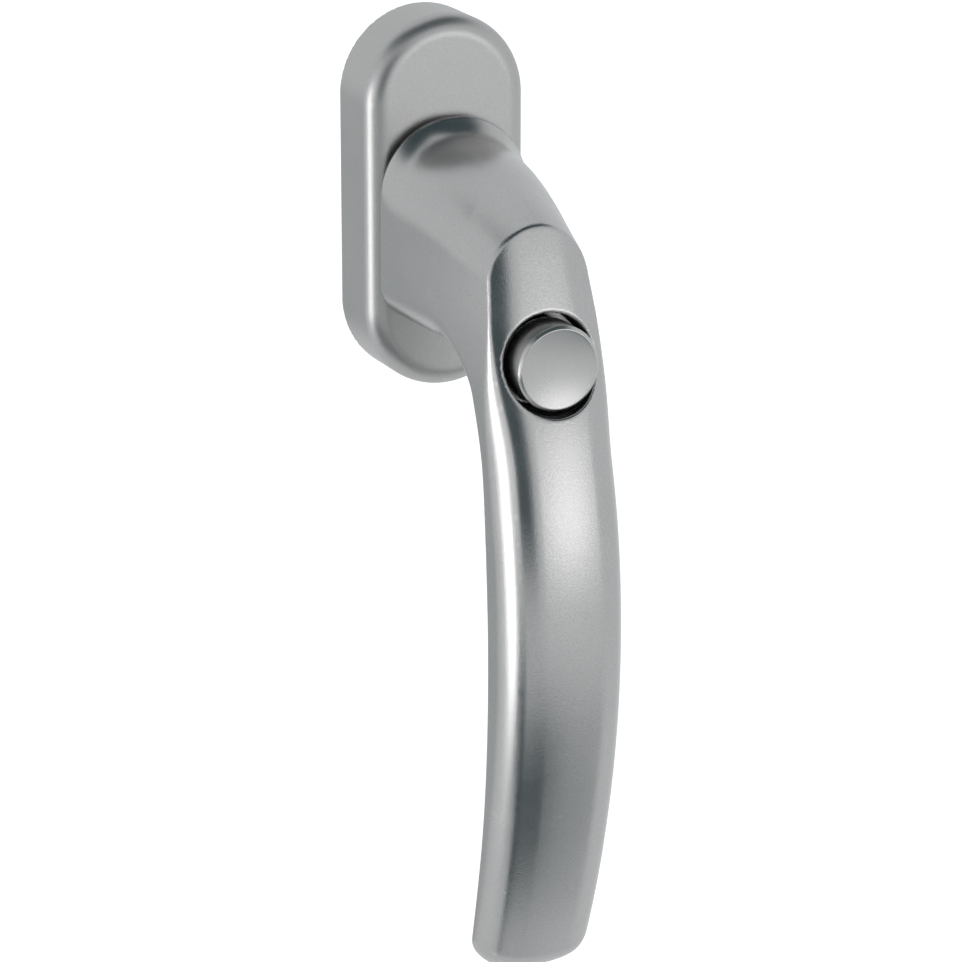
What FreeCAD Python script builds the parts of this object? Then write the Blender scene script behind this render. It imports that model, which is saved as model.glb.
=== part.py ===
import FreeCAD, Part
import math
import os

# Tilt and turn window handle with a push button lock.
# Frame: the origin is on the spindle axis, in the plane of the window frame's face.
# +X is to the right, +Z is up and -Y points out of the window towards the room.
# "out" below is the distance from the window face, so a point has y = -out.
# The handle is drawn closed: the grip hangs down.

# Rosette cover
COVER_WIDTH = 31.6
COVER_HEIGHT = 70.0
COVER_DEPTH = 14.0
COVER_EDGE = 3.0
COVER_WALL = 1.4
COVER_FRONT = 1.8
COVER_RIM_OUT = 0.2
COVER_HOLE_GAP = 0.5
LINER_WALL = 1.0
LINER_IN = 2.2
LINER_OUT = 9.0

# Rose base
BASE_WIDTH = 26.4
BASE_HEIGHT = 64.6
BASE_OUT = 9.6
END_FLOOR_OUT = 4.6
CORE_HALF_HEIGHT = 16.4
CORE_WALL = 0.6
HUB_SPACE = 0.3
SCREW_SPACING = 43.0
SCREW_DIAMETER = 5.0
SCREW_SHANK_RADIUS = 2.2
SCREW_LENGTH = 30.0
SCREW_HOLE = 5.3
SCREW_HEAD = 9.2
SCREW_HEAD_HEIGHT = 2.6
SCREW_HEAD_OUT = 9.0
SCREW_SEAT_GAP = 0.1
CROSS_RECESS_HALF = 2.3
CROSS_RECESS_SLOT = 0.5
CROSS_RECESS_DEPTH = 1.6
SCREW_BOSS_RADIUS = 6.4
PEG_RADIUS = 5.0
PEG_LENGTH = 9.0
THREAD_START = 9.6

# Hub, bearing and lock
HUB_RADIUS = 11.2
HUB_REAR = 5.35
BUSH_WALL = 0.9
BUSH_REAR = 9.7
BUSH_FRONT = 12.4
RUNNING_GAP = 0.05
PRESS_GAP = 0.02
JOURNAL_RADIUS = 6.3
JOURNAL_REAR = 0.5
RECESS_RADIUS = 9.0
RECESS_OUT = 2.0
FLOOR_OUT = 3.6
RING_OUT = 5.2
RING_RADIUS = 11.4
RETAINER_IN = 0.95
RETAINER_OUT = 1.55
RETAINER_WIDTH = 1.7
RETAINER_OPENING = 2.2
WASHER_WIDTH = 2.2
WASHER_GAP = 0.03
GROOVE_DEPTH = 0.6
LOCK_RADIUS = 8.7
LOCK_HOLE_GAP = 0.15
NOTCH_DEPTH = 0.8
NOTCH_RADIUS = 1.6
NOTCH_GAP = 0.3
DETENT_IN = 6.0
DETENT_OUT = 8.6
DETENT_THICK = 0.5
DETENT_LENGTH = 17.0
DETENT_FLAT = 1.2
DETENT_HEIGHT = 3.0
POCKET_HEIGHT = 3.2
POCKET_GAP = 0.3
NOSE_GAP = 0.1

# Spindle
SPINDLE_SIDE = 7.0
SPINDLE_INNER_OUT = 19.0
SPINDLE_PROJECTION = 25.0
SPINDLE_CHAMFER = 0.8
SOCKET_GAP = 0.03
SOCKET_END_GAP = 0.1
SPINDLE_PIN_RADIUS = 1.25
SPINDLE_PIN_OUT = 11.0
SPINDLE_PIN_HALF = 10.6

# Lever: neck sections as out, half width, top, top corner radius
NECK_BASE_OUT = 15.4
NECK_BOTTOM = -19.6
NECK_CORNER = 6.0
NECK_SECTIONS = (
    (NECK_BASE_OUT, 14.3, 17.3, 13.8),
    (18.5, 13.9, 13.6, 12.4),
    (30.0, 12.9, 10.8, 10.6),
    (42.0, 11.6, 7.6, 10.0),
    (50.0, 10.2, 4.9, 8.6),
    (60.0, 9.4, 1.8, 8.0),
)
# Side view of the lever as (out, up): the underside with the grip's back, and the front
BACK_CURVE = (
    (39.0, -19.7), (43.6, -21.6), (47.4, -28.0), (50.9, -38.0), (53.4, -51.0),
    (54.6, -68.0), (54.2, -87.0), (50.8, -112.0), (46.8, -129.0),
)
FRONT_CURVE = (
    (50.0, 6.0), (53.5, -5.0), (57.7, -19.0), (62.1, -35.0),
    (64.6, -54.0), (65.4, -72.0), (63.6, -94.0), (58.4, -116.0), (54.0, -129.0),
)
TIP_UP = -136.4
TIP_OUT = 48.8
GRIP_START_OUT = 40.0
GRIP_START_UP = -22.2
# Front view of the grip as (half width, up)
GRIP_SIDE = ((9.8, -6.0), (10.8, -22.0), (11.5, -36.0), (11.7, -66.0), (11.5, -96.0), (11.1, -126.0))
GRIP_TIP_HALF_WIDTH = 8.8
GRIP_TIP_UP = -137.2
GRIP_TIP_ROUND = 3.6

# Push button
BUTTON_UP = -19.2
BUTTON_RADIUS = 7.85
BUTTON_RIM_OUT = 60.3
BUTTON_DISH = 0.65
BUTTON_LAND = 0.15
BUTTON_BEVEL = 0.6
BUTTON_REAR = 53.6
BUTTON_WALL = 1.1
BUTTON_TRAVEL = 3.0
BORE_RADIUS = 8.9
BORE_FLOOR = 50.4
STEM_UP = -15.0
STEM_RADIUS = 2.4
STEM_END = 29.6
STEM_PLATE_IN = 57.0
STEM_PLATE_OUT = 58.2
STEM_PLATE_RADIUS = 3.2
STEM_PASS_GAP = 0.2
STEM_SLOT_HEIGHT = 6.0
CHANNEL_RADIUS = 3.7
CHANNEL_IN = 37.6
GUIDE_IN = 44.4
CLIP_IN = 43.7
CLIP_OUT = 44.3
CLIP_RADIUS = 3.5
CLIP_GROOVE = 0.5
CLIP_GAP = 0.03
CLIP_OPENING = 1.2
CAP_SCREW_UP = -20.6
CAP_SCREW_RADIUS = 1.0
CAP_SCREW_HEAD = 1.7
CAP_SCREW_HEAD_IN = 55.9
CAP_SCREW_END = 59.0
CAP_SCREW_SLOT = 0.25
CAP_SCREW_SLOT_DEPTH = 0.5

# Rocker and lock bolt
ROCKER_OUT = 31.0
ROCKER_UP = -8.0
ROCKER_ARM = 6.8
ROCKER_TIP_RADIUS = 1.4
ROCKER_HUB_RADIUS = 2.8
ROCKER_HALF_THICK = 1.5
ROCKER_ARM_HALF = 0.85
ROCKER_PIN_RADIUS = 1.5
ROCKER_PIN_HALF = 9.0
TIP_GAP = 0.05
BOLT_RADIUS = 1.8
BOLT_GAP = 0.05
BOLT_PLATE_IN = 21.5
BOLT_PLATE_OUT = 24.3
BOLT_HALF_THICK = 1.8
BOLT_TOP = 1.7
BOLT_LIP_UP = -2.4
BOLT_SLOT_TOP = 0.35
BOLT_END = 33.0
CAVITY_HALF = 3.6
CAVITY_IN = 21.2
CAVITY_OUT = 36.5
CAVITY_LOW = -17.8
CAVITY_TOP = 2.2

WIRE_COILS = 5
WIRE_RADIUS = 0.35
SPRING_RADIUS = 3.05
SPRING_END_GAP = 0.05

# Cutters run past the faces they cut, and fused parts of one casting run into each other
OVERCUT = 1.0
OVERLAP = 0.5
NEAR = 0.01


def point(x, out, up):
    """A point in the handle's own frame, given its distance out from the window face."""
    return FreeCAD.Vector(x, -out, up)


def rod(radius, out_from, out_to, x=0.0, up=0.0):
    """A cylinder parallel to the spindle."""
    return Part.makeCylinder(radius, out_to - out_from, point(x, out_from, up), point(0, 1, 0))


def cross_rod(radius, half_length, out, up):
    """A cylinder along X, centred on the handle's middle plane."""
    return Part.makeCylinder(radius, 2 * half_length, point(-half_length, out, up), point(1, 0, 0))


def block(x_half, out_from, out_to, up_from, up_to):
    """A box centred on the handle's middle plane."""
    corner = point(-x_half, out_to, up_from)
    return Part.makeBox(2 * x_half, out_to - out_from, up_to - up_from, corner)


def ring(outer, inner, out_from, out_to):
    """A flat ring round the spindle axis."""
    return rod(outer, out_from, out_to).cut(rod(inner, out_from - OVERCUT, out_to + OVERCUT))


def stadium(width, height, out_from, out_to):
    """A prism with straight sides and half round ends, upright on the window face."""
    radius = width / 2
    end_up = height / 2 - radius
    corners = [
        point(radius, out_from, -end_up),
        point(radius, out_from, end_up),
        point(-radius, out_from, end_up),
        point(-radius, out_from, -end_up),
    ]
    top = Part.Arc(corners[1], point(0, out_from, height / 2), corners[2]).toShape()
    bottom = Part.Arc(corners[3], point(0, out_from, -height / 2), corners[0]).toShape()
    sides = [Part.makeLine(corners[0], corners[1]), Part.makeLine(corners[2], corners[3])]
    outline = Part.Wire([sides[0], top, sides[1], bottom])
    return Part.Face(outline).extrude(point(0, out_to - out_from, 0))


def side_prism(outline, x_half):
    """A closed side view outline, as (out, up) points, drawn out equally to both sides."""
    points = [point(-x_half, out, up) for out, up in outline]
    face = Part.Face(Part.makePolygon(points + points[:1]))
    return face.extrude(point(2 * x_half, 0, 0))


def smooth(points):
    """A curve through the given points."""
    curve = Part.BSplineCurve()
    curve.interpolate(points)
    return curve.toShape()


def save(node, shape):
    """Write one piece as parts/NODE.step."""
    shape.exportStep(os.path.join("parts", node + ".step"))


# ---------------------------------------------------------------- rosette


def screw_places():
    """The heights of the two fixing screws."""
    return (-SCREW_SPACING / 2, SCREW_SPACING / 2)


def rose_cover():
    """Hollow aluminium shell with a rounded front edge and a hole for the hub."""
    shell = stadium(COVER_WIDTH, COVER_HEIGHT, COVER_RIM_OUT, COVER_DEPTH)
    front = [edge for edge in shell.Edges if edge.BoundBox.YMax < -COVER_DEPTH + NEAR]
    shell = shell.makeFillet(COVER_EDGE, front)
    inner_width = COVER_WIDTH - 2 * COVER_WALL
    inner_height = COVER_HEIGHT - 2 * COVER_WALL
    room = stadium(inner_width, inner_height, -OVERCUT, COVER_DEPTH - COVER_FRONT)
    ceiling = COVER_DEPTH - COVER_FRONT
    room_front = [edge for edge in room.Edges if edge.BoundBox.YMax < -ceiling + NEAR]
    room = room.makeFillet(COVER_EDGE - COVER_WALL / 2, room_front)
    hole = rod(HUB_RADIUS + BUSH_WALL + COVER_HOLE_GAP, 0, COVER_DEPTH + OVERCUT)
    return shell.cut(room).cut(hole)


def cover_liner():
    """Plastic band inside the cover's wall that grips the base."""
    width = COVER_WIDTH - 2 * COVER_WALL - 2 * PRESS_GAP
    height = COVER_HEIGHT - 2 * COVER_WALL - 2 * PRESS_GAP
    band = stadium(width, height, LINER_IN, LINER_OUT)
    inner_width = width - 2 * LINER_WALL
    inner_height = height - 2 * LINER_WALL
    return band.cut(stadium(inner_width, inner_height, LINER_IN - OVERCUT, LINER_OUT + OVERCUT))


def detent_pocket(side):
    """The room for one leaf spring, above (side 1) or below (side -1) the hub."""
    low = side * (HUB_RADIUS - OVERCUT)
    high = side * (HUB_RADIUS + POCKET_HEIGHT)
    half = DETENT_LENGTH / 2 + POCKET_GAP
    return block(half, DETENT_IN - POCKET_GAP, BASE_OUT + OVERCUT, min(low, high), max(low, high))


def rose_base():
    """Cast base: floor, bearing core, screw bosses and the two locating pegs."""
    base = stadium(BASE_WIDTH, BASE_HEIGHT, 0, END_FLOOR_OUT)
    core = stadium(BASE_WIDTH, BASE_HEIGHT, 0, BASE_OUT)
    core = core.common(block(BASE_WIDTH, 0, BASE_OUT, -CORE_HALF_HEIGHT, CORE_HALF_HEIGHT))
    base = base.fuse(core)
    for up in screw_places():
        base = base.fuse(rod(SCREW_BOSS_RADIUS, 0, SCREW_HEAD_OUT, up=up))
        base = base.fuse(rod(PEG_RADIUS, -PEG_LENGTH, OVERLAP, up=up))
    base = base.fuse(rod(HUB_RADIUS + BUSH_WALL + CORE_WALL, 0, BASE_OUT))
    base = base.cut(rod(HUB_RADIUS + HUB_SPACE, RING_OUT, BASE_OUT + OVERCUT))
    base = base.cut(rod(RING_RADIUS + PRESS_GAP, FLOOR_OUT, RING_OUT + NEAR))
    base = base.cut(rod(JOURNAL_RADIUS + RUNNING_GAP, -OVERCUT, FLOOR_OUT + OVERCUT))
    base = base.cut(rod(RECESS_RADIUS, -OVERCUT, RECESS_OUT))
    for side in (-1, 1):
        base = base.cut(detent_pocket(side))
    for up in screw_places():
        base = base.cut(rod(SCREW_HOLE / 2, -PEG_LENGTH - OVERCUT, BASE_OUT + OVERCUT, up=up))
        seat = Part.makeCone(
            SCREW_HOLE / 2, SCREW_HEAD / 2 + SCREW_SEAT_GAP, SCREW_HEAD_HEIGHT,
            point(0, SCREW_HEAD_OUT - SCREW_HEAD_HEIGHT, up), point(0, 1, 0))
        base = base.cut(seat)
    return base.removeSplitter()


def lock_ring():
    """Steel ring in the base floor with a lock hole for each end position."""
    plate = ring(RING_RADIUS, JOURNAL_RADIUS + 2 * RUNNING_GAP, FLOOR_OUT, RING_OUT)
    for side in (-1, 1):
        up = side * LOCK_RADIUS
        plate = plate.cut(rod(BOLT_RADIUS + LOCK_HOLE_GAP, FLOOR_OUT - OVERCUT, RING_OUT + OVERCUT, up=up))
    return plate


def bearing_bush():
    """Plastic bush that carries the hub, with a flange on the base."""
    outer = HUB_RADIUS + BUSH_WALL
    return ring(outer, HUB_RADIUS + RUNNING_GAP, BUSH_REAR, BUSH_FRONT)


def detent_leaf():
    """One bent strip above the hub: a flat, two feet and a round nose that points down."""
    flat_low = HUB_RADIUS + DETENT_FLAT
    flat_high = flat_low + DETENT_THICK
    half = DETENT_LENGTH / 2
    nose_up = HUB_RADIUS - NOTCH_DEPTH + NOTCH_RADIUS + NOSE_GAP
    nose_inside = NOTCH_RADIUS - DETENT_THICK
    nose = rod(NOTCH_RADIUS, DETENT_IN, DETENT_OUT, up=nose_up)
    nose = nose.cut(rod(nose_inside, DETENT_IN - OVERCUT, DETENT_OUT + OVERCUT, up=nose_up))
    nose = nose.common(block(NOTCH_RADIUS, DETENT_IN, DETENT_OUT, 0, flat_high))
    strip = block(half, DETENT_IN, DETENT_OUT, flat_low, flat_high)
    strip = strip.cut(block(nose_inside, DETENT_IN, DETENT_OUT, flat_low, flat_high))
    feet = block(half, DETENT_IN, DETENT_OUT, flat_low, HUB_RADIUS + DETENT_HEIGHT)
    feet = feet.cut(block(half - DETENT_THICK, DETENT_IN, DETENT_OUT, 0, 2 * HUB_RADIUS))
    return strip.fuse(nose).fuse(feet).removeSplitter()


def detent_springs():
    """Two bent leaf springs whose noses rest in the hub's notches."""
    leaf = detent_leaf()
    return Part.makeCompound([leaf, leaf.mirror(point(0, 0, 0), point(0, 0, 1))])


def fixing_screws():
    """Two countersunk screws: cross recess, thin shank through the peg, thread beyond it."""
    screws = []
    for up in screw_places():
        screw = rod(SCREW_SHANK_RADIUS, -THREAD_START - OVERLAP, SCREW_HEAD_OUT, up=up)
        screw = screw.fuse(rod(SCREW_DIAMETER / 2, SCREW_HEAD_OUT - SCREW_LENGTH, -THREAD_START, up=up))
        head_in = SCREW_HEAD_OUT - SCREW_HEAD_HEIGHT + RUNNING_GAP
        screw = screw.fuse(Part.makeCone(
            SCREW_SHANK_RADIUS, SCREW_HEAD / 2 - RUNNING_GAP, SCREW_HEAD_HEIGHT,
            point(0, head_in, up), point(0, 1, 0)))
        deep = SCREW_HEAD_OUT - CROSS_RECESS_DEPTH
        high = SCREW_HEAD_OUT + OVERCUT
        for half, reach in ((CROSS_RECESS_SLOT, CROSS_RECESS_HALF), (CROSS_RECESS_HALF, CROSS_RECESS_SLOT)):
            screw = screw.cut(block(half, deep, high, up - reach, up + reach))
        screws.append(screw)
    return Part.makeCompound(screws)


def thrust_washer():
    """Thin washer between the base floor and the retaining ring."""
    inner = JOURNAL_RADIUS + 2 * RUNNING_GAP
    outer = JOURNAL_RADIUS + WASHER_WIDTH
    return ring(outer, inner, RETAINER_OUT + WASHER_GAP, RECESS_OUT - WASHER_GAP)


def retaining_ring():
    """Open spring ring in the journal's groove."""
    inner = JOURNAL_RADIUS - GROOVE_DEPTH + RUNNING_GAP
    body = ring(JOURNAL_RADIUS + RETAINER_WIDTH, inner, RETAINER_IN, RETAINER_OUT)
    return body.cut(block(RETAINER_OPENING, 0, RECESS_OUT, -2 * JOURNAL_RADIUS, 0))


# ---------------------------------------------------------------- lever


def neck_section(out, half, top, corner):
    """One upright section of the neck: flat sides, large top corners, small bottom corners."""
    turn = math.sqrt(0.5)

    def corner_arc(x_centre, up_centre, radius, x_sign, up_sign):
        start = point(x_centre + x_sign * radius, out, up_centre)
        middle = point(x_centre + x_sign * radius * turn, out, up_centre + up_sign * radius * turn)
        end = point(x_centre, out, up_centre + up_sign * radius)
        return Part.Arc(start, middle, end).toShape(), start, end

    top_x = half - corner
    low_x = half - NECK_CORNER
    low_up = NECK_BOTTOM + NECK_CORNER
    upper_right, right_high, top_right = corner_arc(top_x, top - corner, corner, 1, 1)
    upper_left, left_high, top_left = corner_arc(-top_x, top - corner, corner, -1, 1)
    lower_left, left_low, bottom_left = corner_arc(-low_x, low_up, NECK_CORNER, -1, -1)
    lower_right, right_low, bottom_right = corner_arc(low_x, low_up, NECK_CORNER, 1, -1)
    return Part.Wire([
        upper_right, Part.makeLine(top_right, top_left), upper_left,
        Part.makeLine(left_high, left_low), lower_left,
        Part.makeLine(bottom_left, bottom_right), lower_right,
        Part.makeLine(right_low, right_high),
    ])


def side_view():
    """The whole lever's outline from the side, drawn out wider than the lever."""
    reach = NECK_SECTIONS[0][1] + OVERCUT
    back = [point(-reach, out, up) for out, up in BACK_CURVE]
    front = [point(-reach, out, up) for out, up in FRONT_CURVE]
    base_low = point(-reach, NECK_BASE_OUT, BACK_CURVE[0][1])
    base_high = point(-reach, NECK_BASE_OUT, NECK_SECTIONS[0][2] + OVERCUT)
    front_high = point(-reach, TIP_OUT, NECK_SECTIONS[0][2] + OVERCUT)
    tip = Part.Arc(back[-1], point(-reach, TIP_OUT, TIP_UP), front[-1]).toShape()
    outline = Part.Wire([
        Part.makeLine(base_low, back[0]), smooth(back), tip, smooth(front[::-1]),
        Part.makeLine(front[0], front_high), Part.makeLine(front_high, base_high),
        Part.makeLine(base_high, base_low),
    ])
    return Part.Face(outline).extrude(point(2 * reach, 0, 0))


def front_view():
    """The grip's outline from the front, drawn out through the whole depth."""
    near = NECK_BASE_OUT
    left = [point(-half, near, up) for half, up in GRIP_SIDE]
    right = [point(half, near, up) for half, up in reversed(GRIP_SIDE)]
    round_up = GRIP_TIP_UP + GRIP_TIP_ROUND
    tip = smooth([
        left[-1], point(-GRIP_TIP_HALF_WIDTH, near, round_up), point(0, near, GRIP_TIP_UP),
        point(GRIP_TIP_HALF_WIDTH, near, round_up), right[0],
    ])
    outline = Part.Wire([smooth(left), tip, smooth(right), Part.makeLine(right[-1], left[0])])
    return Part.Face(outline).extrude(point(0, 2 * TIP_OUT, 0))


def grip():
    """The hanging grip, up to where it joins the neck."""
    body = side_view().common(front_view())
    neck_room = block(2 * BORE_RADIUS, 0, GRIP_START_OUT, GRIP_START_UP, 2 * BORE_RADIUS)
    return body.cut(neck_room)


def hub():
    """Round hub and journal behind the neck, with notches and a retainer groove."""
    body = rod(HUB_RADIUS, HUB_REAR, NECK_BASE_OUT + OVERLAP)
    body = body.fuse(rod(JOURNAL_RADIUS, JOURNAL_REAR, HUB_REAR + OVERLAP))
    groove_outer = JOURNAL_RADIUS + OVERCUT
    groove_inner = JOURNAL_RADIUS - GROOVE_DEPTH
    body = body.cut(ring(groove_outer, groove_inner, RETAINER_IN - RUNNING_GAP, RETAINER_OUT + PRESS_GAP))
    reach = HUB_RADIUS - NOTCH_DEPTH + NOTCH_RADIUS
    for x, up in ((0, reach), (0, -reach), (reach, 0), (-reach, 0)):
        body = body.cut(rod(NOTCH_RADIUS, DETENT_IN - NOTCH_GAP, DETENT_OUT + NOTCH_GAP, x=x, up=up))
    return body


def lever_rooms():
    """Everything that is hollow in the lever: socket, button bore, stem channel and rocker room."""
    socket_half = SPINDLE_SIDE / 2 + SOCKET_GAP
    return [
        block(socket_half, -OVERCUT, SPINDLE_INNER_OUT + SOCKET_END_GAP, -socket_half, socket_half),
        cross_rod(SPINDLE_PIN_RADIUS + PRESS_GAP, HUB_RADIUS + OVERCUT, SPINDLE_PIN_OUT, 0),
        rod(BOLT_RADIUS + BOLT_GAP, 0, CAVITY_IN + OVERCUT, up=-LOCK_RADIUS),
        rod(BORE_RADIUS, BORE_FLOOR, 2 * BORE_FLOOR, up=BUTTON_UP),
        rod(CHANNEL_RADIUS, CHANNEL_IN, BORE_FLOOR + OVERCUT, up=STEM_UP),
        rod(STEM_RADIUS + STEM_PASS_GAP, CAVITY_OUT - OVERCUT, CHANNEL_IN + OVERCUT, up=STEM_UP),
        block(CAVITY_HALF, CAVITY_IN, CAVITY_OUT, CAVITY_LOW, CAVITY_TOP),
        cross_rod(ROCKER_PIN_RADIUS + PRESS_GAP, ROCKER_PIN_HALF + PRESS_GAP, ROCKER_OUT, ROCKER_UP),
    ]


def lever():
    """Hub, neck and grip as one casting."""
    neck = Part.makeLoft([neck_section(*row) for row in NECK_SECTIONS], True, False)
    body = neck.common(side_view()).fuse(grip())
    body = body.fuse(hub())
    for room in lever_rooms():
        body = body.cut(room)
    return body.removeSplitter()


def spindle():
    """Square steel spindle with chamfered ends and a cross hole for its pin."""
    half = SPINDLE_SIDE / 2
    bar = block(half, -SPINDLE_PROJECTION, SPINDLE_INNER_OUT, -half, half)
    ends = [edge for edge in bar.Edges if edge.BoundBox.YLength < NEAR]
    bar = bar.makeChamfer(SPINDLE_CHAMFER, ends)
    return bar.cut(cross_rod(SPINDLE_PIN_RADIUS + PRESS_GAP, SPINDLE_SIDE, SPINDLE_PIN_OUT, 0))


def spindle_pin():
    """Cross pin that keeps the spindle in the hub."""
    return cross_rod(SPINDLE_PIN_RADIUS, SPINDLE_PIN_HALF, SPINDLE_PIN_OUT, 0)


# ---------------------------------------------------------------- button and lock


def button_cap():
    """Cap with a shallow dished face: a hollow cup with a bevelled rim and an inner boss."""
    cup = rod(BUTTON_RADIUS, BUTTON_REAR, BUTTON_RIM_OUT, up=BUTTON_UP)
    rim = [edge for edge in cup.Edges if edge.BoundBox.YMax < -BUTTON_RIM_OUT + NEAR]
    cup = cup.makeChamfer(BUTTON_BEVEL, rim)
    dish_edge = BUTTON_RADIUS - BUTTON_BEVEL - BUTTON_LAND
    dish_radius = (dish_edge ** 2 + BUTTON_DISH ** 2) / (2 * BUTTON_DISH)
    dish_centre = BUTTON_RIM_OUT - BUTTON_DISH + dish_radius
    cup = cup.cut(Part.makeSphere(dish_radius, point(0, dish_centre, BUTTON_UP)))
    cup = cup.cut(rod(BUTTON_RADIUS - BUTTON_WALL, BUTTON_REAR - OVERCUT, STEM_PLATE_OUT, up=BUTTON_UP))
    hole_end = CAP_SCREW_END + SOCKET_END_GAP
    return cup.cut(rod(CAP_SCREW_RADIUS + PRESS_GAP, STEM_PLATE_OUT - OVERCUT, hole_end, up=CAP_SCREW_UP))


def stem_plate():
    """The plate on the stem's end that the cap sits on."""
    front = STEM_PLATE_OUT - PRESS_GAP
    low = rod(STEM_PLATE_RADIUS, STEM_PLATE_IN, front, up=CAP_SCREW_UP)
    high = rod(STEM_RADIUS, STEM_PLATE_IN, front, up=STEM_UP)
    web = block(STEM_RADIUS, STEM_PLATE_IN, front, CAP_SCREW_UP, STEM_UP)
    return low.fuse(high).fuse(web)


def button_stem():
    """Stem with a plate for the cap, a clip groove and a slot for the rocker's tip."""
    stem = rod(STEM_RADIUS, STEM_END, STEM_PLATE_IN + OVERLAP, up=STEM_UP).fuse(stem_plate())
    groove = rod(STEM_RADIUS + OVERCUT, CLIP_IN - CLIP_GAP, CLIP_OUT + CLIP_GAP, up=STEM_UP)
    groove = groove.cut(rod(STEM_RADIUS - CLIP_GROOVE, CLIP_IN - OVERCUT, CLIP_OUT + OVERCUT, up=STEM_UP))
    tip_out, tip_up = rocker_tip(-1)
    slot_half = ROCKER_TIP_RADIUS + TIP_GAP
    slot_low = ROCKER_UP - ROCKER_ARM - ROCKER_TIP_RADIUS - STEM_PASS_GAP
    slot_high = tip_up + STEM_SLOT_HEIGHT
    slot = block(STEM_RADIUS + OVERCUT, tip_out - slot_half, tip_out + slot_half, slot_low, slot_high)
    hole_radius = CAP_SCREW_RADIUS + PRESS_GAP
    hole = rod(hole_radius, STEM_PLATE_IN - OVERCUT, STEM_PLATE_OUT + OVERCUT, up=CAP_SCREW_UP)
    return stem.cut(groove).cut(slot).cut(hole).removeSplitter()


def cap_screw():
    """Small pan head screw from the stem plate into the cap."""
    shank = rod(CAP_SCREW_RADIUS, STEM_PLATE_IN - OVERLAP, CAP_SCREW_END, up=CAP_SCREW_UP)
    head = rod(CAP_SCREW_HEAD, CAP_SCREW_HEAD_IN, STEM_PLATE_IN - PRESS_GAP, up=CAP_SCREW_UP)
    slot_end = CAP_SCREW_HEAD_IN + CAP_SCREW_SLOT_DEPTH
    low = CAP_SCREW_UP - 2 * CAP_SCREW_HEAD
    high = CAP_SCREW_UP + 2 * CAP_SCREW_HEAD
    slot = block(CAP_SCREW_SLOT, CAP_SCREW_HEAD_IN - OVERCUT, slot_end, low, high)
    return shank.fuse(head).cut(slot)


def button_guide():
    """Plastic bush in the bore floor that guides the stem."""
    guide = rod(CHANNEL_RADIUS - PRESS_GAP, GUIDE_IN, BORE_FLOOR, up=STEM_UP)
    return guide.cut(rod(STEM_RADIUS + RUNNING_GAP, GUIDE_IN - OVERCUT, BORE_FLOOR + OVERCUT, up=STEM_UP))


def button_clip():
    """Clip on the stem that stops against the guide."""
    low = CLIP_IN - OVERCUT
    high = CLIP_OUT + OVERCUT
    clip = rod(CLIP_RADIUS, CLIP_IN, CLIP_OUT, up=STEM_UP)
    clip = clip.cut(rod(STEM_RADIUS - CLIP_GROOVE + PRESS_GAP, low, high, up=STEM_UP))
    return clip.cut(block(CLIP_OPENING, low, high, STEM_UP, STEM_UP + 2 * CLIP_RADIUS))


def button_spring():
    """Coil spring between the channel's shoulder and the clip."""
    start = CHANNEL_IN + WIRE_RADIUS + SPRING_END_GAP
    length = CLIP_IN - WIRE_RADIUS - SPRING_END_GAP - start
    coil = Part.makeHelix(length / WIRE_COILS, length, SPRING_RADIUS)
    begin = FreeCAD.Vector(SPRING_RADIUS, 0, 0)
    section = Part.Wire(Part.makeCircle(WIRE_RADIUS, begin, FreeCAD.Vector(0, 1, 0)))
    spring = Part.Wire(coil.Edges).makePipeShell([section], True, True)
    spring.rotate(FreeCAD.Vector(0, 0, 0), FreeCAD.Vector(1, 0, 0), 90)
    spring.translate(point(0, start, STEM_UP))
    return spring


def rocker_tip(end):
    """Where a rocker tip rests: end 1 is the bolt's tip, end -1 is the button's."""
    lean = math.asin(BUTTON_TRAVEL / 2 / ROCKER_ARM)
    return ROCKER_OUT - end * ROCKER_ARM * math.sin(lean), ROCKER_UP + end * ROCKER_ARM * math.cos(lean)


def rocker():
    """Two armed rocker: the button pushes one tip in, the other pulls the bolt out."""
    body = cross_rod(ROCKER_HUB_RADIUS, ROCKER_HALF_THICK, ROCKER_OUT, ROCKER_UP)
    lean = math.degrees(math.asin(BUTTON_TRAVEL / 2 / ROCKER_ARM))
    arm = block(ROCKER_HALF_THICK, ROCKER_OUT - ROCKER_ARM_HALF, ROCKER_OUT + ROCKER_ARM_HALF,
                ROCKER_UP - ROCKER_ARM, ROCKER_UP + ROCKER_ARM)
    arm.rotate(point(0, ROCKER_OUT, ROCKER_UP), point(1, 0, 0), -lean)
    body = body.fuse(arm)
    for end in (-1, 1):
        tip_out, tip_up = rocker_tip(end)
        body = body.fuse(cross_rod(ROCKER_TIP_RADIUS, ROCKER_HALF_THICK, tip_out, tip_up))
    return body.cut(cross_rod(ROCKER_PIN_RADIUS + RUNNING_GAP, ROCKER_PIN_HALF, ROCKER_OUT, ROCKER_UP))


def rocker_pin():
    """Pin across the neck that the rocker turns on."""
    return cross_rod(ROCKER_PIN_RADIUS, ROCKER_PIN_HALF, ROCKER_OUT, ROCKER_UP)


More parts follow.
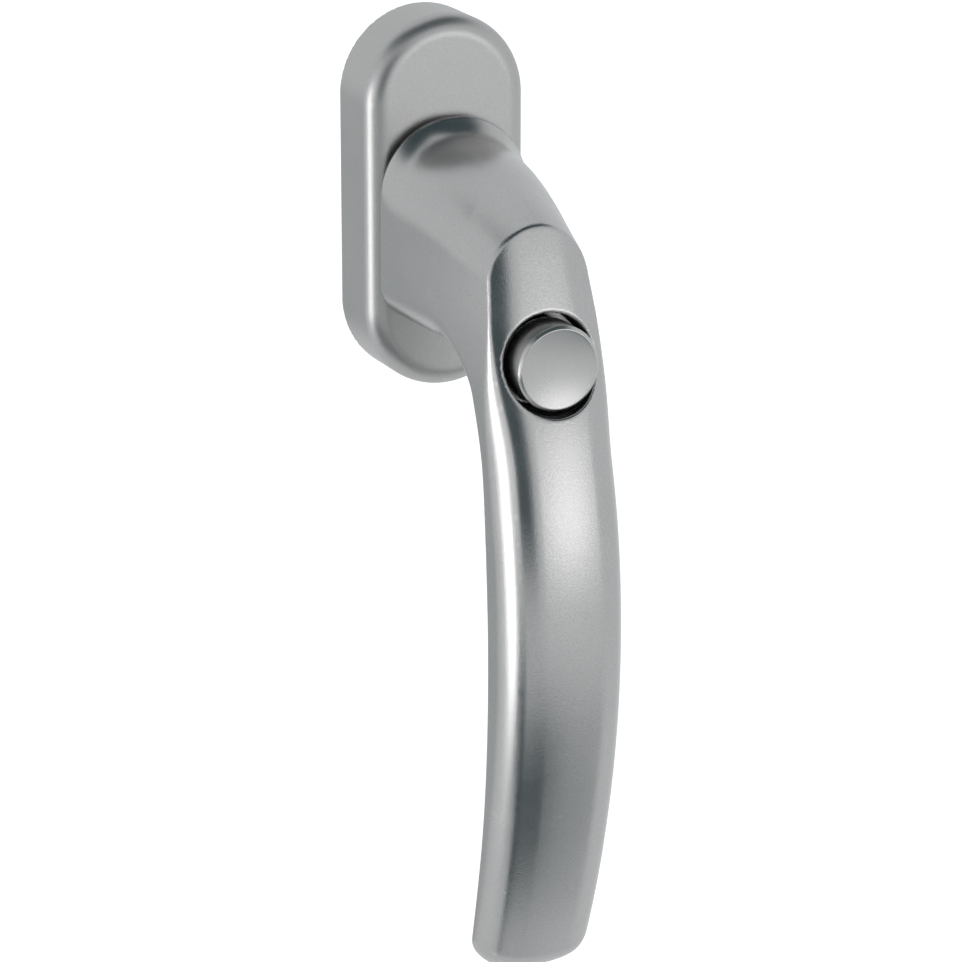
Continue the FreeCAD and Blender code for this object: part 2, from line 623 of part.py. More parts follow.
def lock_bolt():
    """Round bolt with a cranked tail and a slot for the rocker's upper tip."""
    tip_out = rocker_tip(1)[0]
    slot_half = ROCKER_TIP_RADIUS + TIP_GAP
    pin = rod(BOLT_RADIUS, HUB_REAR, BOLT_PLATE_IN + OVERLAP, up=-LOCK_RADIUS)
    tail = side_prism((
        (BOLT_PLATE_IN, -LOCK_RADIUS - BOLT_RADIUS), (BOLT_PLATE_IN, BOLT_TOP), (BOLT_END, BOLT_TOP),
        (BOLT_END, BOLT_LIP_UP), (tip_out + slot_half, BOLT_LIP_UP), (tip_out + slot_half, BOLT_SLOT_TOP),
        (tip_out - slot_half, BOLT_SLOT_TOP), (tip_out - slot_half, BOLT_LIP_UP),
        (BOLT_PLATE_OUT, BOLT_LIP_UP), (BOLT_PLATE_OUT, -LOCK_RADIUS - BOLT_RADIUS),
    ), BOLT_HALF_THICK)
    return pin.fuse(tail).removeSplitter()


PIECES = (
    rose_cover, cover_liner, rose_base, lock_ring, bearing_bush, detent_springs, fixing_screws,
    thrust_washer, retaining_ring, lever, spindle, spindle_pin, button_cap, button_stem, cap_screw,
    button_guide, button_clip, button_spring, rocker, rocker_pin, lock_bolt,
)

os.makedirs("parts", exist_ok=True)
for piece in PIECES:
    save(piece.__name__, piece())
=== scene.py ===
import math

import bmesh
import bpy
import numpy as np
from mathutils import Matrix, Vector


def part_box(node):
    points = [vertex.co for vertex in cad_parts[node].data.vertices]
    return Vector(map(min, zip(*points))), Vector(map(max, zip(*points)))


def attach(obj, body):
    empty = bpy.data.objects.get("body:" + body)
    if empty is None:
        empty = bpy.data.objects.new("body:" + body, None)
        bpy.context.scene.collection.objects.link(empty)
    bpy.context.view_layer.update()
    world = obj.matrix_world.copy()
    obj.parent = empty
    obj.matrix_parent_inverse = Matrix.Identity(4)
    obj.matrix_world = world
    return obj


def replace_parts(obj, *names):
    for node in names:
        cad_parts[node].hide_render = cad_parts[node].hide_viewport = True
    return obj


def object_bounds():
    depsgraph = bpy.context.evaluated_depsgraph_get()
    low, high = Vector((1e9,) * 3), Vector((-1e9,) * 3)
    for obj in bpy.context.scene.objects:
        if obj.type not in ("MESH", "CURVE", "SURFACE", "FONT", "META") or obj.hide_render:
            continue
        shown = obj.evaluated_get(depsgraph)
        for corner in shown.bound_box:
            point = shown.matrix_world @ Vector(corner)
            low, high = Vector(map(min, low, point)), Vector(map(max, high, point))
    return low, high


# Tilt and turn window handle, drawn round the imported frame.
# Lengths of the shapes are in millimetres until to_metres(); "out" is the distance from
# the window face towards the room, so a point (x, out, up) lies at (x, -out, up).

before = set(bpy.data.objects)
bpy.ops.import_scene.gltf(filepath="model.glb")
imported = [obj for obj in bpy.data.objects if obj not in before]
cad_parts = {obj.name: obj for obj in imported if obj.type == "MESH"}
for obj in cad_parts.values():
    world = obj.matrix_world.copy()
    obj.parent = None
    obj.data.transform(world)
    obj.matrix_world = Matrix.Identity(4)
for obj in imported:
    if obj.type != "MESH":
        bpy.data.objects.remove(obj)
cad_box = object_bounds()

MM = 0.001


def node_box(node):
    """A node's box as lowest and highest (x, out, up) in millimetres."""
    low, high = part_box(node)
    return (
        (low[0] / MM, -high[1] / MM, low[2] / MM),
        (high[0] / MM, -low[1] / MM, high[2] / MM),
    )


# ---------------------------------------------------------------- driving sizes

cover_low, cover_high = node_box("rose_cover")
lever_low, lever_high = node_box("lever")
cap_low, cap_high = node_box("button_cap")
guide_low, guide_high = node_box("button_guide")
bush_low, bush_high = node_box("bearing_bush")

COVER_HALF_WIDTH = cover_high[0]
COVER_HALF_HEIGHT = cover_high[2]
COVER_REAR = cover_low[1]
COVER_FRONT = cover_high[1]
COVER_EDGE = 3.8
COVER_RIM = 0.2
COVER_WALL = 1.4
COVER_FACE = 1.8
COVER_HOLE_GAP = 0.5
COVER_HOLE = bush_high[0] + COVER_HOLE_GAP

BUTTON_RADIUS = cap_high[0]
BUTTON_UP = (cap_low[2] + cap_high[2]) / 2
BUTTON_FRONT = cap_high[1]
BUTTON_REAR = cap_low[1]
BUTTON_BEVEL = 0.55
BUTTON_STEP = 0.18
BUTTON_BREAK = 0.1
BUTTON_DISH = 0.6
BUTTON_WALL = 1.1

BORE_GAP = 1.1
BORE_RADIUS = BUTTON_RADIUS + BORE_GAP
BORE_FLOOR = guide_high[1]
BORE_WALL_DROP = 2.1
BORE_WALL_PROUD = 0.04
BORE_STEPS = 96

NECK_GAP = 1.4
NECK_BASE = COVER_FRONT + NECK_GAP
NECK_SWELL = 0.35
NECK_HALF = lever_high[0] + NECK_SWELL
NECK_UNDER = -19.6
TIP_UP = lever_low[2]

BUSH_WALL = 0.9
HUB_RADIUS = bush_high[0] - BUSH_WALL
HUB_REAR = 5.35
HUB_OVERLAP = 0.6
JOURNAL_RADIUS = 6.3
JOURNAL_REAR = lever_low[1]
SOCKET_RADIUS = 5.05
HUB_BREAK = 0.3

# The grids that the smooth shells are drawn on: their step, and how far the lever's reaches
GRID_STEP = 0.4
LEVER_GRID_OUT = 69.0
LEVER_GRID_UP = 18.0
# Points closer than this are one point
WELD = 0.001


# ---------------------------------------------------------------- curves and solid fields


def spline(*knots):
    """A natural cubic through (place, value) knots, straight beyond the ends, with its slope."""
    places = np.array([knot[0] for knot in knots], float)
    values = np.array([knot[1] for knot in knots], float)
    order = np.argsort(places)
    places, values = places[order], values[order]
    gaps = np.diff(places)
    rises = np.diff(values) / gaps
    count = len(places)
    system = np.eye(count)
    target = np.zeros(count)
    for i in range(1, count - 1):
        system[i, i - 1] = gaps[i - 1]
        system[i, i] = 2 * (gaps[i - 1] + gaps[i])
        system[i, i + 1] = gaps[i]
        target[i] = 6 * (rises[i] - rises[i - 1])
    bends = np.linalg.solve(system, target)

    def value(where):
        where = np.asarray(where, float)
        inside = np.clip(where, places[0], places[-1])
        i = np.clip(np.searchsorted(places, inside) - 1, 0, count - 2)
        gap = gaps[i]
        a = (places[i + 1] - inside) / gap
        b = 1 - a
        curve = a * values[i] + b * values[i + 1]
        curve += ((a ** 3 - a) * bends[i] + (b ** 3 - b) * bends[i + 1]) * gap ** 2 / 6
        slope = (values[i + 1] - values[i]) / gap
        slope += ((1 - 3 * a ** 2) * bends[i] + (3 * b ** 2 - 1) * bends[i + 1]) * gap / 6
        return curve + slope * (where - inside), slope

    return value


def ease(where, start, end):
    """0 before start, 1 after end, smooth between; start may be above end."""
    share = np.clip((where - start) / (end - start), 0, 1)
    return share * share * (3 - 2 * share)


def join_round(a, b, radius):
    """Both solids at once, with the edge between them rounded."""
    u = np.maximum(a + radius, 0)
    v = np.maximum(b + radius, 0)
    return np.minimum(np.maximum(a, b), -radius) + np.sqrt(u * u + v * v)


def merge_round(a, b, radius):
    """Either solid, with the inner corner between them rounded."""
    return -join_round(-a, -b, radius)


# The lever's front seen from the side, as (up, out)
front_line = spline(
    (12, 47.9), (5, 50.6), (-4, 53.5), (-12, 55.8), (-19, 57.8), (-28, 60.8), (-36, 63.0),
    (-50, 65.9), (-64, 67.3), (-78, 67.3), (-94, 65.7), (-110, 62.5), (-124, 58.6), (-136, 54.3),
)
# The grip's back, as (up, out)
back_line = spline(
    (-12, 44.4), (-20, 46.6), (-28, 49.5), (-38, 52.2), (-52, 54.0), (-68, 54.9), (-84, 54.7),
    (-98, 53.5), (-112, 51.2), (-126, 47.8), (-138, 44.6),
)
# The neck's top, as (out, up)
top_line = spline(
    (15.4, 17.4), (16.6, 16.1), (18.0, 14.9), (19.8, 13.9), (22, 13.3), (25, 12.8), (30, 11.8),
    (34, 10.7), (38, 9.4), (45, 6.9), (50, 4.9), (58, 1.5),
)
# The radius of the neck's top corners, as (out, radius)
top_corner = spline(
    (15.4, 14.0), (24, 12.9), (32, 11.9), (40, 10.9), (45, 10.4), (50, 9.2), (58, 8.4),
)
# Half widths near the front, as (up, half width)
front_half = spline(
    (10, 8.6), (4, 8.8), (-4, 9.3), (-12, 10.2), (-20, 11.0), (-30, 11.75), (-42, 12.15),
    (-60, 12.25), (-78, 12.2), (-96, 12.05), (-112, 11.85), (-126, 11.6), (-138, 11.4),
)

# Corner radii: below the neck, along the grip's back and front, round the recess above the
# button, at the tip, at the neck's base and at the bore
UNDER_CORNER = 6.0
UNDER_HOLLOW = 6.0
BACK_CORNER = 2.2
FRONT_CORNER = 3.5
CREST_CORNER = 0.4
TIP_CORNER = 4.2
BASE_EDGE = 0.9
BORE_EDGE = 0.45
SIDE_FLAT = 0.2

# The front is crowned across, and rolls off near its side edges: first value in the recess
# above the button, second value in the grip
FACE_ROUND = 42.0
EDGE_ROLL = (5.2, 7.0)
EDGE_SLOPE = (0.42, 0.75)
ROLL_LIMIT = 1.5
TIP_BULGE = 34.0

# Where one shape turns into the next
NECK_TO_GRIP = (-21.0, -40.0)
RECESS_TO_GRIP = (-10.0, -38.0)
UNDER_TO_BACK = (34.0, 46.0)
NECK_TAPER = 1.5


def blend_pair(pair, share):
    """The first value of a pair at share 0, the second at share 1."""
    return pair[0] + (pair[1] - pair[0]) * share


def lever_outline(x, out, up, front):
    """The lever's outline from the room: sides, neck top and tip, with its half width."""
    top, top_slope = top_line(out)
    near_half = front_half(up)[0]
    reach = np.clip((out - NECK_BASE) / (front - NECK_BASE), 0, 1) ** NECK_TAPER
    in_neck = ease(up, NECK_TO_GRIP[1], NECK_TO_GRIP[0])
    half = near_half + (NECK_HALF - near_half) * (1 - reach) * in_neck
    corner = np.minimum(top_corner(out)[0], half - SIDE_FLAT)
    outline = join_round(np.abs(x) - half, up - top, corner)
    outline = outline / np.sqrt(1 + (top_slope * ease(up, top - corner, top)) ** 2)
    tip = TIP_UP + x ** 2 / (2 * TIP_BULGE) - up
    return join_round(outline, tip, TIP_CORNER), half


def front_face(x, out, up, half, grip_share):
    """Signed distance to the crowned front with its rolled side edges."""
    front, front_slope = front_line(up)
    roll_width = blend_pair(EDGE_ROLL, grip_share)
    roll_slope = blend_pair(EDGE_SLOPE, grip_share)
    from_edge = np.clip(1 - (half - np.abs(x)) / roll_width, 0, ROLL_LIMIT)
    roll = roll_slope * roll_width / 2 * from_edge ** 2
    return (out - front + x ** 2 / (2 * FACE_ROUND) + roll) / np.sqrt(1 + front_slope ** 2)


def lever_field(x, out, up):
    """Signed distance to the lever's outside: below zero inside."""
    outline, half = lever_outline(x, out, up, front_line(up)[0])
    grip_share = ease(up, *RECESS_TO_GRIP)
    face = front_face(x, out, up, half, grip_share)
    shell_front = join_round(outline, face, blend_pair((CREST_CORNER, FRONT_CORNER), grip_share))

    back, back_slope = back_line(up)
    behind = (back - out) / np.sqrt(1 + back_slope ** 2)
    hollow_side = merge_round(NECK_UNDER - up, behind, UNDER_HOLLOW)
    low_corner = blend_pair((BACK_CORNER, UNDER_CORNER), ease(out, UNDER_TO_BACK[1], UNDER_TO_BACK[0]))
    shell_back = join_round(outline, hollow_side, low_corner)

    body = np.maximum(shell_front, shell_back)
    body = join_round(body, NECK_BASE - out, BASE_EDGE)
    bore = np.hypot(x, up - BUTTON_UP) - BORE_RADIUS
    room = np.maximum(bore, BORE_FLOOR - out)
    return join_round(body, -room, BORE_EDGE)


# ---------------------------------------------------------------- meshes


def to_metres(points):
    """(x, out, up) rows in millimetres to positions in metres."""
    points = np.asarray(points, float)
    return np.stack([points[:, 0], -points[:, 1], points[:, 2]], axis=1) * MM


def make_piece(name, points, faces, body, material, smooth=True):
    """A mesh object in the handle's frame that rides on a body."""
    mesh = bpy.data.meshes.new(name)
    mesh.from_pydata(to_metres(points).tolist(), [], [list(map(int, face)) for face in faces])
    mesh.validate()
    mesh.update()
    work = bmesh.new()
    work.from_mesh(mesh)
    bmesh.ops.remove_doubles(work, verts=work.verts, dist=WELD * MM)
    bmesh.ops.recalc_face_normals(work, faces=work.faces)
    work.to_mesh(mesh)
    work.free()
    piece = bpy.data.objects.new(name, mesh)
    bpy.context.scene.collection.objects.link(piece)
    if smooth:
        mesh.polygons.foreach_set("use_smooth", [True] * len(mesh.polygons))
    mesh.materials.append(material)
    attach(piece, body)
    return piece


def pull_to_surface(field, points, step, rounds=4, least_slope=0.25):
    """Moves points onto the field's zero surface by Newton steps along the field's slope."""
    probe = step / 20
    for _ in range(rounds):
        here = field(*points.T)
        slope = np.stack([
            field(*(points + probe * np.eye(3)[i]).T) - field(*(points - probe * np.eye(3)[i]).T)
            for i in range(3)], axis=1) / (2 * probe)
        move = here[:, None] * slope / np.maximum((slope ** 2).sum(1), least_slope)[:, None]
        points = points - np.clip(move, -step, step)
    return points


def net_quads(crossings, number, cells):
    """One quad round every grid edge that the surface crosses, facing outwards."""
    quads = []
    for axis, (crossed, solid_first) in enumerate(crossings):
        others = [(axis + 1) % 3, (axis + 2) % 3]
        spots = np.argwhere(crossed)
        good = np.all([(spots[:, i] > 0) & (spots[:, i] < cells[i]) for i in others], axis=0)
        spots = spots[good]
        corners = []
        for da, db in ((1, 1), (0, 1), (0, 0), (1, 0)):
            cell = spots.copy()
            cell[:, others[0]] -= da
            cell[:, others[1]] -= db
            corners.append(number[tuple(cell.T)])
        quad = np.stack(corners, axis=1)
        flip = ~solid_first[tuple(spots.T)]
        quad[flip] = quad[flip][:, ::-1]
        quads.append(quad)
    return np.concatenate(quads)


def surface_net(field, low, high, step):
    """Points and quads of a field's zero surface on a regular grid, pulled onto the surface."""
    axes = [np.arange(low[i] - step, high[i] + 2 * step, step) for i in range(3)]
    grid = np.meshgrid(*axes, indexing="ij", sparse=True)
    values = field(*grid)
    inside = values < 0
    cells = tuple(size - 1 for size in values.shape)
    total = np.zeros(cells + (3,))
    count = np.zeros(cells)
    crossings = []
    for axis in range(3):
        first = [slice(None)] * 3
        second = [slice(None)] * 3
        first[axis] = slice(0, -1)
        second[axis] = slice(1, None)
        start, end = values[tuple(first)], values[tuple(second)]
        crossed = inside[tuple(first)] != inside[tuple(second)]
        share = np.where(crossed, start / np.where(crossed, start - end, 1), 0)
        crossings.append((crossed, inside[tuple(first)]))
        others = [i for i in range(3) if i != axis]
        for da in (0, 1):
            for db in (0, 1):
                part = [slice(None)] * 3
                part[others[0]] = slice(da, da + cells[others[0]])
                part[others[1]] = slice(db, db + cells[others[1]])
                hit = crossed[tuple(part)]
                count += hit
                total[..., axis] += share[tuple(part)]
                total[..., others[0]] += hit * da
                total[..., others[1]] += hit * db
    used = count > 0
    number = np.full(cells, -1)
    number[used] = np.arange(used.sum())
    where = np.argwhere(used)
    points = where + total[used] / count[used][:, None]
    points = points * step + np.array([axis[0] for axis in axes])
    return pull_to_surface(field, points, step), net_quads(crossings, number, cells)


def turned(profile_at, centre_up, steps):
    """Points and quads of a closed (radius, out) profile turned round an axis along the spindle."""
    points = []
    faces = []
    for i in range(steps):
        angle = 2 * math.pi * i / steps
        across, rise = math.sin(angle), math.cos(angle)
        profile = profile_at(rise)
        for radius, out in profile:
            points.append((radius * across, out, centre_up + radius * rise))
    rows = len(profile)
    for i in range(steps):
        following = (i + 1) % steps
        for j in range(rows):
            k = (j + 1) % rows
            faces.append((i * rows + j, i * rows + k, following * rows + k, following * rows + j))
    return points, faces


def lathe(name, profile, centre_up, body, material, steps=128):
    """A turned piece with the same profile all round."""
    points, faces = turned(lambda rise: profile, centre_up, steps)
    return make_piece(name, points, faces, body, material)


# ---------------------------------------------------------------- materials


# Slow tone changes, in waves per metre, and where an edge counts as worn
SLOW_SCALE = 60.0
WEAR_FROM = 0.52
WEAR_FULL = 0.62
WEAR_LIGHTER = 1.25
WEAR_SMOOTHER = 0.25
ROUGHNESS_SPREAD = 0.08


def new_material(name):
    """An empty node material with its main shader."""
    material = bpy.data.materials.new(name)
    material.use_nodes = True
    nodes = material.node_tree.nodes
    shader = nodes["Principled BSDF"]
    return material, nodes, material.node_tree.links, shader


def add_noise(nodes, links, coords, scale, detail, roughness=0.5):
    """A noise texture in object space."""
    noise = nodes.new("ShaderNodeTexNoise")
    noise.inputs["Scale"].default_value = scale
    noise.inputs["Detail"].default_value = detail
    noise.inputs["Roughness"].default_value = roughness
    links.new(coords.outputs["Object"], noise.inputs["Vector"])
    return noise.outputs["Fac"]


def add_range(nodes, links, source, low, high, from_low=0.3, from_high=0.7):
    """Maps a noise value to a range."""
    change = nodes.new("ShaderNodeMapRange")
    change.inputs["From Min"].default_value = from_low
    change.inputs["From Max"].default_value = from_high
    change.inputs["To Min"].default_value = low
    change.inputs["To Max"].default_value = high
    links.new(source, change.inputs["Value"])
    return change.outputs["Result"]


def add_mix(nodes, links, factor, first, second, blend="MIX"):
    """Mixes two colours; each input is a number, a colour or another node's output."""
    mix = nodes.new("ShaderNodeMix")
    mix.data_type = "RGBA"
    mix.blend_type = blend
    for place, value in (("Factor", factor), ("A", first), ("B", second)):
        if isinstance(value, (int, float, tuple)):
            mix.inputs[place].default_value = value
        else:
            links.new(value, mix.inputs[place])
    return mix.outputs["Result"]


def scaled(colour, share):
    """A colour made lighter or darker, with full alpha."""
    return tuple(min(1.0, c * share) for c in colour) + (1.0,)


def metal(name, colour, roughness, grain, grain_depth, variation=0.06, wear=0.25, metallic=1.0):
    """A metal with fine grain, slow tone changes and brighter, smoother worn edges."""
    material, nodes, links, shader = new_material(name)
    coords = nodes.new("ShaderNodeTexCoord")
    slow = add_noise(nodes, links, coords, SLOW_SCALE, 4.0)
    fine = add_noise(nodes, links, coords, grain, 3.0, 0.6)
    geometry = nodes.new("ShaderNodeNewGeometry")
    edge = add_range(nodes, links, geometry.outputs["Pointiness"], 0.0, wear, WEAR_FROM, WEAR_FULL)

    tone = add_mix(nodes, links, slow, scaled(colour, 1 - variation), scaled(colour, 1 + variation))
    shade = add_range(nodes, links, fine, 1.0 - variation, 1.0 + variation)
    speckled = add_mix(nodes, links, 1.0, tone, shade, "MULTIPLY")
    worn = add_mix(nodes, links, edge, speckled, scaled(colour, WEAR_LIGHTER))
    links.new(worn, shader.inputs["Base Color"])

    smooth, dull = roughness * (1 - ROUGHNESS_SPREAD), roughness * (1 + ROUGHNESS_SPREAD)
    base = add_range(nodes, links, slow, smooth, dull)
    less = nodes.new("ShaderNodeMath")
    less.operation = "MULTIPLY_ADD"
    less.inputs[1].default_value = -WEAR_SMOOTHER
    links.new(edge, less.inputs[0])
    links.new(base, less.inputs[2])
    links.new(less.outputs["Value"], shader.inputs["Roughness"])
    shader.inputs["Metallic"].default_value = metallic

    bump = nodes.new("ShaderNodeBump")
    bump.inputs["Strength"].default_value = 1.0
    bump.inputs["Distance"].default_value = grain_depth * MM
    links.new(fine, bump.inputs["Height"])
    links.new(bump.outputs["Normal"], shader.inputs["Normal"])
    return material


def plastic(name, colour, roughness, grain, grain_depth):
    """Moulded plastic with a faint texture."""
    return metal(name, colour, roughness, grain, grain_depth, variation=0.08, wear=0.1, metallic=0.0)


SATIN = metal("satin_aluminium", (0.50, 0.49, 0.487), 0.26, 3400.0, 0.02)
SATIN_ROSE = metal("rosette_aluminium", (0.49, 0.48, 0.477), 0.38, 3400.0, 0.02)
SATIN_BUTTON = metal("button_aluminium", (0.52, 0.51, 0.505), 0.28, 5000.0, 0.01)
ZINC = metal("zinc_casting", (0.36, 0.37, 0.38), 0.5, 2600.0, 0.04)
PLATED = metal("zinc_plated_steel", (0.62, 0.62, 0.58), 0.28, 3000.0, 0.01)
SPRING = metal("spring_steel", (0.30, 0.30, 0.31), 0.32, 3000.0, 0.008)
NATURAL = plastic("natural_plastic", (0.75, 0.74, 0.69), 0.45, 1800.0, 0.02)
# Near-black painted shade for the sheet that lines the button's bore
BORE_PAINTED_SHADE = metal("bore_painted_shade", (0.05, 0.055, 0.06), 0.6, 2600.0, 0.03, wear=0.05)
BLACK = plastic("black_plastic", (0.012, 0.012, 0.013), 0.55, 1800.0, 0.02)


def finish_node(node, material):
    """Gives a CAD node its finish."""
    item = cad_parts[node]
    item.data.materials.clear()
    item.data.materials.append(material)


# ---------------------------------------------------------------- pieces


def build_lever():
    """The neck and grip as one smooth casting."""
    low = (-NECK_HALF, NECK_BASE, TIP_UP)
    high = (NECK_HALF, LEVER_GRID_OUT, LEVER_GRID_UP)
    points, quads = surface_net(lever_field, low, high, GRID_STEP)
    piece = make_piece("lever_body", points, quads, "lever", SATIN)
    return piece


def build_hub():
    """The round hub and journal behind the neck, open for the spindle."""
    front = NECK_BASE + HUB_OVERLAP
    profile = [
        (SOCKET_RADIUS, JOURNAL_REAR), (JOURNAL_RADIUS - HUB_BREAK, JOURNAL_REAR),
        (JOURNAL_RADIUS, JOURNAL_REAR + HUB_BREAK), (JOURNAL_RADIUS, HUB_REAR),
        (HUB_RADIUS - HUB_BREAK, HUB_REAR), (HUB_RADIUS, HUB_REAR + HUB_BREAK),
        (HUB_RADIUS, front), (SOCKET_RADIUS, front),
    ]
    piece = lathe("lever_hub", profile, 0.0, "lever", SATIN)
    return piece


def build_bore_shade_sheet():
    """A thin near-black sheet just proud of the button's bore wall, painting shade into the bore,
    following the slope of the lever's front.
    """

    def profile_at(rise):
        top = float(front_line(BUTTON_UP + BORE_RADIUS * rise)[0]) - BORE_WALL_DROP
        inner = BORE_RADIUS - BORE_WALL_PROUD
        outer = BORE_RADIUS + BORE_WALL_PROUD
        return ((inner, BORE_FLOOR), (inner, top), (outer, top), (outer, BORE_FLOOR))

    points, faces = turned(profile_at, BUTTON_UP, BORE_STEPS)
    piece = make_piece("lever_bore_shade_sheet", points, faces, "lever", BORE_PAINTED_SHADE, smooth=False)
    return piece


def stadium_field(x, up, half_width, half_height):
    """Signed distance to an upright outline with half round ends."""
    reach = half_height - half_width
    return np.hypot(x, np.maximum(np.abs(up) - reach, 0)) - half_width


def cover_field(x, out, up):
    """The rosette shell: wall, rounded front edge, flat face and the hole for the hub."""
    outside = stadium_field(x, up, COVER_HALF_WIDTH, COVER_HALF_HEIGHT)
    body = join_round(outside, out - COVER_FRONT, COVER_EDGE)
    body = join_round(body, COVER_REAR - out, COVER_RIM)
    ceiling = out - (COVER_FRONT - COVER_FACE)
    room = join_round(outside + COVER_WALL, ceiling, COVER_EDGE / 2)
    hole = np.hypot(x, up) - COVER_HOLE + 0 * out
    return join_round(np.maximum(body, -room), -hole, COVER_RIM)


def build_cover():
    """The rosette cover as a pressed shell."""
    low = (-COVER_HALF_WIDTH, COVER_REAR, -COVER_HALF_HEIGHT)
    high = (COVER_HALF_WIDTH, COVER_FRONT, COVER_HALF_HEIGHT)
    points, quads = surface_net(cover_field, low, high, GRID_STEP)
    piece = make_piece("rosette_shell", points, quads, "cover", SATIN_ROSE)
    return piece


def dish_rows(edge, front, rows=20):
    """The dished face's (radius, out) points from its edge to the middle."""
    points = []
    for i in range(1, rows + 1):
        radius = edge * (1 - i / rows)
        points.append((radius, front - BUTTON_DISH * (1 - (radius / edge) ** 2)))
    return points


def build_button():
    """The push button cap: skirt, bevelled rim with a fine step, and the dished face."""
    skirt_edge = BUTTON_FRONT - BUTTON_BEVEL
    step_radius = BUTTON_RADIUS - BUTTON_BEVEL
    dish_edge = step_radius - BUTTON_STEP
    dish_front = BUTTON_FRONT - BUTTON_BREAK / 2
    inner_radius = BUTTON_RADIUS - BUTTON_WALL
    ceiling = dish_front - BUTTON_DISH - BUTTON_WALL
    profile = [
        (inner_radius, BUTTON_REAR), (BUTTON_RADIUS - BUTTON_BREAK, BUTTON_REAR),
        (BUTTON_RADIUS, BUTTON_REAR + BUTTON_BREAK), (BUTTON_RADIUS, BUTTON_REAR + 2 * BUTTON_BREAK),
        (BUTTON_RADIUS, skirt_edge - BUTTON_BREAK), (BUTTON_RADIUS, skirt_edge),
        (BUTTON_RADIUS - BUTTON_BREAK / 2, skirt_edge + BUTTON_BREAK),
        (step_radius + BUTTON_BREAK / 2, dish_front), (step_radius, BUTTON_FRONT), (dish_edge, dish_front),
    ]
    profile += dish_rows(dish_edge, dish_front)
    profile += [(0.0, ceiling), (inner_radius, ceiling)]
    piece = lathe("button_face", profile, BUTTON_UP, "button", SATIN_BUTTON)
    return piece


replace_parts(build_lever(), "lever")
build_hub()
# The near-black sheet of painted shade inside the button's bore
build_bore_shade_sheet()
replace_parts(build_cover(), "rose_cover")
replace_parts(build_button(), "button_cap")

FINISHES = {
    ZINC: ("rose_base",),
    PLATED: ("fixing_screws", "spindle", "button_stem", "cap_screw", "rocker", "lock_bolt"),
    SPRING: (
        "lock_ring", "detent_springs", "retaining_ring", "spindle_pin", "button_clip", "button_spring",
        "rocker_pin",
    ),
    NATURAL: ("bearing_bush", "thrust_washer"),
    BLACK: ("cover_liner", "button_guide"),
}
for material, nodes in FINISHES.items():
    for node in nodes:
        finish_node(node, material)


# ---------------------------------------------------------------- studio


FLOOR_HALF_SIZE = 6.0
FLOOR_DROP = 0.03


def pale_floor():
    """The floor's plain pale material, a little lit of its own."""
    material, nodes, links, shader = new_material("floor_pale")
    shader.inputs["Base Color"].default_value = (0.85, 0.85, 0.85, 1.0)
    shader.inputs["Roughness"].default_value = 0.9
    shader.inputs["Emission Color"].default_value = (1.0, 1.0, 1.0, 1.0)
    shader.inputs["Emission Strength"].default_value = 0.7
    return material


def build_floor():
    """A large pale floor below the grip's tip, seen by the camera only."""
    mesh = bpy.data.meshes.new("floor")
    size = FLOOR_HALF_SIZE
    level = cad_box[0][2] - FLOOR_DROP
    corners = [(-size, -size, level), (size, -size, level), (size, size, level), (-size, size, level)]
    mesh.from_pydata(corners, [], [(0, 1, 2, 3)])
    floor = bpy.data.objects.new("floor", mesh)
    bpy.context.scene.collection.objects.link(floor)
    mesh.materials.append(pale_floor())
    floor.visible_glossy = False
    floor.visible_diffuse = False
    floor.visible_shadow = False


def direction(azimuth, elevation):
    """A unit vector from the handle: azimuth 0 is the room side, positive to the right."""
    a = math.radians(azimuth)
    e = math.radians(elevation)
    return Vector((math.sin(a) * math.cos(e), -math.cos(a) * math.cos(e), math.sin(e)))


# The studio round the handle, as the light's strength in windows of the sky:
# (azimuth, half width, elevation, half height, soft edge, strength), angles in degrees
STUDIO_LIGHT = 0.78
STUDIO_TINT = (0.0, 0.03, 0.04)
STUDIO_WINDOWS = (
    (0, 122, 68, 22, 14, 0.05),
    (-154, 26, -18, 10, 10, 0.5),
    (-20, 60, -56, 8, 6, 0.6),
    (15, 40, -40, 12, 10, 0.42),
    (-26, 46, -40, 11, 6, 0.02),
    (-66, 22, -27, 7, 6, 0.02),
    (-30, 19, 11, 17, 6, 0.0),
    (24, 12, 2, 8, 6, 2.1),
    (-88, 10, -10, 14, 5, 3.9),
    (-61, 6, 4, 5, 5, 1.5),
)


def math_node(nodes, links, operation, *inputs):
    """A maths node fed by numbers or by other nodes' outputs."""
    node = nodes.new("ShaderNodeMath")
    node.operation = operation
    for place, value in enumerate(inputs):
        if isinstance(value, (int, float)):
            node.inputs[place].default_value = value
        else:
            links.new(value, node.inputs[place])
    return node.outputs["Value"]


def soft_window(nodes, links, angle, centre, half, edge):
    """1 within half of the centre angle, 0 beyond, with a soft edge."""
    away = math_node(nodes, links, "ABSOLUTE", math_node(nodes, links, "SUBTRACT", angle, centre))
    fade = nodes.new("ShaderNodeMapRange")
    fade.interpolation_type = "SMOOTHSTEP"
    fade.inputs["From Min"].default_value = half - edge / 2
    fade.inputs["From Max"].default_value = half + edge / 2
    fade.inputs["To Min"].default_value = 1.0
    fade.inputs["To Max"].default_value = 0.0
    links.new(away, fade.inputs["Value"])
    return fade.outputs["Result"]


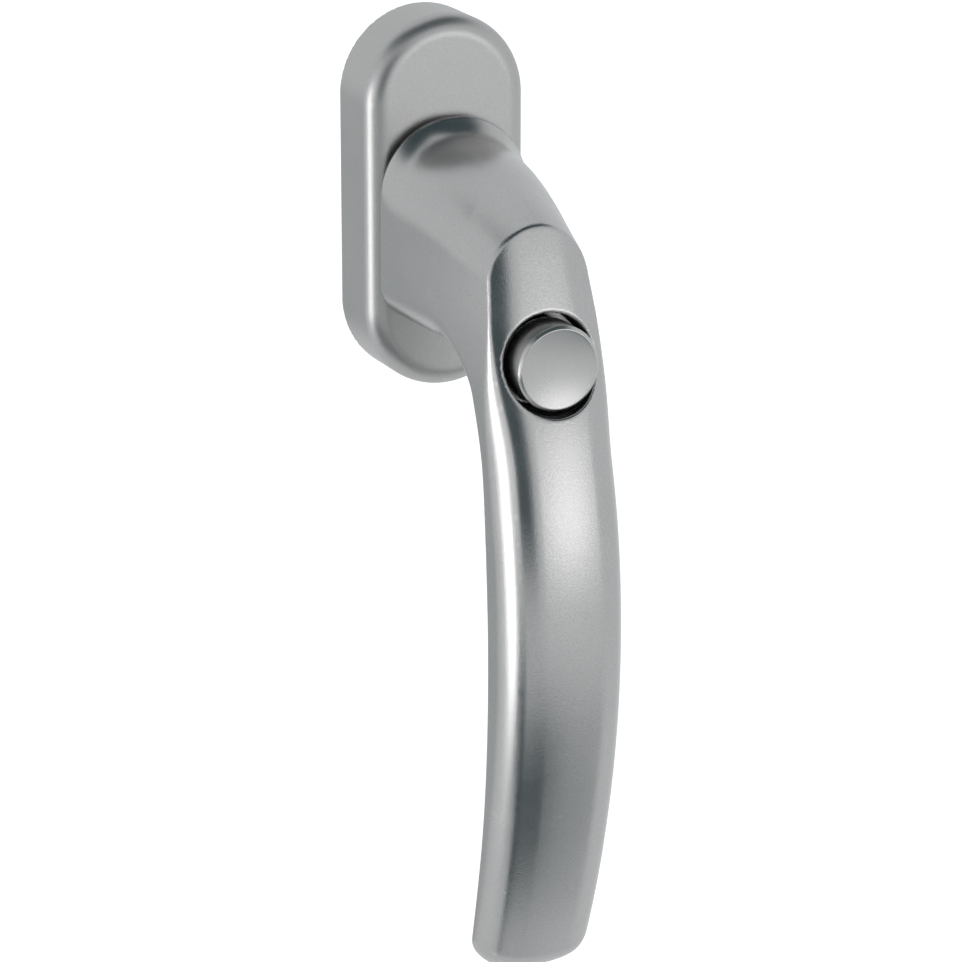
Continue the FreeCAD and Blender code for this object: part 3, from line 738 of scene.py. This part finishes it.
def studio_strength(nodes, links):
    """The strength of the studio's light in each direction."""
    coords = nodes.new("ShaderNodeTexCoord")
    split = nodes.new("ShaderNodeSeparateXYZ")
    links.new(coords.outputs["Generated"], split.inputs["Vector"])
    front = math_node(nodes, links, "MULTIPLY", split.outputs["Y"], -1.0)
    turn = math_node(nodes, links, "ARCTAN2", split.outputs["X"], front)
    azimuth = math_node(nodes, links, "MULTIPLY", turn, 180 / math.pi)
    rise = math_node(nodes, links, "ARCSINE", split.outputs["Z"])
    elevation = math_node(nodes, links, "MULTIPLY", rise, 180 / math.pi)
    strength = STUDIO_LIGHT
    for azimuth_at, half_width, elevation_at, half_height, edge, level in STUDIO_WINDOWS:
        across = soft_window(nodes, links, azimuth, azimuth_at, half_width, edge)
        along = soft_window(nodes, links, elevation, elevation_at, half_height, edge)
        share = math_node(nodes, links, "MULTIPLY", across, along)
        rest = math_node(nodes, links, "SUBTRACT", 1.0, share)
        kept = math_node(nodes, links, "MULTIPLY", rest, strength)
        added = math_node(nodes, links, "MULTIPLY", share, level)
        strength = math_node(nodes, links, "ADD", kept, added)
    return strength


def build_world():
    """The studio for reflections, plain white behind the handle for the camera."""
    world = bpy.data.worlds.new("studio")
    bpy.context.scene.world = world
    world.use_nodes = True
    nodes = world.node_tree.nodes
    links = world.node_tree.links
    strength = studio_strength(nodes, links)
    tint = nodes.new("ShaderNodeCombineXYZ")
    for place, added in enumerate(STUDIO_TINT):
        links.new(math_node(nodes, links, "ADD", strength, added), tint.inputs[place])
    studio = nodes["Background"]
    links.new(tint.outputs["Vector"], studio.inputs["Color"])
    white = nodes.new("ShaderNodeBackground")
    path = nodes.new("ShaderNodeLightPath")
    mix = nodes.new("ShaderNodeMixShader")
    links.new(path.outputs["Is Camera Ray"], mix.inputs["Fac"])
    links.new(studio.outputs["Background"], mix.inputs[1])
    links.new(white.outputs["Background"], mix.inputs[2])
    links.new(mix.outputs["Shader"], nodes["World Output"].inputs["Surface"])
    white.inputs["Color"].default_value = (1.0, 1.0, 1.0, 1.0)


VIEW_AZIMUTH = -25.0
VIEW_ELEVATION = 18.0
VIEW_DISTANCE = 0.8
SENSOR_WIDTH = 36.0
# The width that the picture shows at the target, and the target beside, behind and below
# the middle of the object's box, in millimetres
VIEW_WIDTH = 179.143
TARGET_SHIFT = (3.64, 0.44, -1.34)


def build_camera():
    """The camera, from the left and a little above, with a long lens."""
    middle = (Vector(cad_box[0]) + Vector(cad_box[1])) / 2
    target = middle + Vector(TARGET_SHIFT) * MM
    data = bpy.data.cameras.new("camera")
    data.sensor_width = SENSOR_WIDTH
    data.lens = VIEW_DISTANCE / MM * SENSOR_WIDTH / VIEW_WIDTH
    data.clip_start = 0.01
    camera = bpy.data.objects.new("camera", data)
    camera.location = target + direction(VIEW_AZIMUTH, VIEW_ELEVATION) * VIEW_DISTANCE
    camera.rotation_euler = (target - camera.location).to_track_quat("-Z", "Y").to_euler()
    bpy.context.scene.collection.objects.link(camera)
    bpy.context.scene.camera = camera


build_floor()
build_world()
build_camera()
bpy.context.scene.view_settings.view_transform = "Standard"
